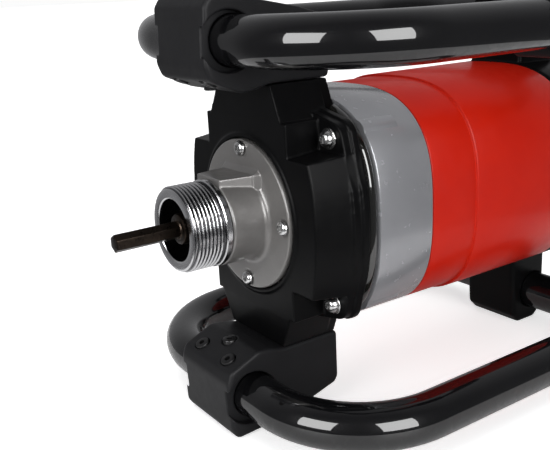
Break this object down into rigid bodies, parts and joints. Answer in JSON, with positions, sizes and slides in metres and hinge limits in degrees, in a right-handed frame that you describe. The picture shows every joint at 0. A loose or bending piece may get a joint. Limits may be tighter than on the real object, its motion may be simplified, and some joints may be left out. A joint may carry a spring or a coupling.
{
  "type": "ice auger power head",
  "caption": "Twin-loop power head with a hexagon drive inside a threaded nose, geared motor, slide-on battery pack and trigger pod.",
  "frame": {"origin": "centre of the end face of the hexagon drive", "axes": "+X along the output axis out of the tool, +Y towards the operator's side with the switch pod, +Z towards the upper handle loop"},
  "size_m": [0.3702, 0.2237, 0.2254],
  "materials": {
    "dark_steel": "oiled dark steel",
    "machined_aluminium": "bright turned",
    "grey_casting": "satin die casting",
    "zinc_steel": "bright zinc",
    "black_screw": "black oxide",
    "black_cover": "satin black",
    "black_bracket": "fine-textured black",
    "black_tube": "gloss black",
    "black_seal": "matt rubber",
    "gloss_black_plate": "gloss black",
    "silver_band": "silver-grey paint",
    "red_housing": "satin red",
    "gear_steel": "ground steel",
    "bearing_steel": "polished",
    "laminate": "varnished lamination",
    "enamelled_copper": "enamelled winding",
    "white_nylon": "natural nylon",
    "controller_board": "potted board",
    "battery_plastic": "fine-textured black",
    "pod_plastic": "fine-textured black",
    "red_control": "satin red"
  },
  "bodies": {
    "power_head": {"threaded_nose": "machined_aluminium", "flange": "grey_casting", "flange_screw_1": "zinc_steel", "flange_screw_2": "zinc_steel", "flange_screw_3": "zinc_steel", "flange_screw_4": "zinc_steel", "gearbox_cover": "black_cover", "cover_washer_1": "zinc_steel", "cover_washer_2": "zinc_steel", "cover_washer_3": "zinc_steel", "cover_washer_4": "zinc_steel", "cover_screw_1": "zinc_steel", "cover_screw_2": "zinc_steel", "cover_screw_3": "zinc_steel", "cover_screw_4": "zinc_steel", "gearbox_plate": "gloss_black_plate", "output_bearing_front": "bearing_steel", "output_bearing_rear": "bearing_steel", "oil_seal": "black_seal", "lay_bearing_front": "bearing_steel", "lay_bearing_rear": "bearing_steel", "motor_band": "silver_band", "motor_housing": "red_housing", "motor_bearing_front": "bearing_steel", "motor_bearing_rear": "bearing_steel", "stator_core": "laminate", "stator_coils": "enamelled_copper", "rear_cap": "black_cover", "rear_cap_screw_1": "black_screw", "rear_cap_screw_2": "black_screw", "rear_cap_screw_3": "black_screw", "rear_cap_screw_4": "black_screw", "controller": "controller_board", "front_bracket_upper": "black_bracket", "front_bracket_lower": "black_bracket", "clamp_screw_upper_1": "black_screw", "clamp_screw_upper_2": "black_screw", "clamp_screw_upper_3": "black_screw", "clamp_screw_lower_1": "black_screw", "clamp_screw_lower_2": "black_screw", "clamp_screw_lower_3": "black_screw", "handle_loop_upper": "black_tube", "handle_loop_lower": "black_tube", "switch_pod": "pod_plastic", "switch_clamp": "pod_plastic", "trigger_pin": "zinc_steel"},
    "rotor": {"rotor_shaft": "gear_steel", "rotor_core": "laminate", "fan": "white_nylon"},
    "lay_shaft": {"layshaft": "gear_steel", "lay_gear": "gear_steel"},
    "output": {"output_shaft": "dark_steel", "output_gear": "gear_steel"},
    "battery": {"battery_pack": "battery_plastic"},
    "latch": {"battery_latch": "red_control"},
    "trigger": {"trigger": "red_control"},
    "lock_button": {"lock_button": "red_control"},
    "direction_slider": {"direction_slider": "red_control"}
  },
  "joints": [
    {"name": "rotor_spin", "type": "hinge", "parent": "power_head", "child": "rotor", "pos_m": [-0.1742, 0, 0], "axis": [1, 0, 0], "continuous": true},
    {"name": "layshaft_spin", "type": "hinge", "parent": "power_head", "child": "lay_shaft", "pos_m": [-0.0942, -0.02898, -0.00777], "axis": [1, 0, 0], "continuous": true},
    {"name": "output_spin", "type": "hinge", "parent": "power_head", "child": "output", "pos_m": [-0.0742, 0, 0], "axis": [1, 0, 0], "continuous": true},
    {"name": "battery_slide", "type": "slide", "parent": "power_head", "child": "battery", "axis": [0, 1, 0], "range_m": [0, 0.09]},
    {"name": "battery_latch_press", "type": "slide", "parent": "battery", "child": "latch", "axis": [0, -1, 0], "range_m": [0, 0.0032], "stiffness_N_per_m": 500},
    {"name": "trigger_pull", "type": "hinge", "parent": "power_head", "child": "trigger", "pos_m": [-0.2012, 0.0774, 0.091], "axis": [0, 0, 1], "range_deg": [0, 9], "stiffness_Nm_per_rad": 0.35},
    {"name": "lock_button_press", "type": "slide", "parent": "power_head", "child": "lock_button", "axis": [0, 0, -1], "range_m": [0, 0.003], "stiffness_N_per_m": 300},
    {"name": "direction_shift", "type": "slide", "parent": "power_head", "child": "direction_slider", "axis": [1, 0, 0], "range_m": [-0.003, 0.003]}
  ],
  "couplings": [
    {"joint": "layshaft_spin", "follows": "rotor_spin", "ratio": -0.33333},
    {"joint": "output_spin", "follows": "rotor_spin", "ratio": 0.11111}
  ]
}
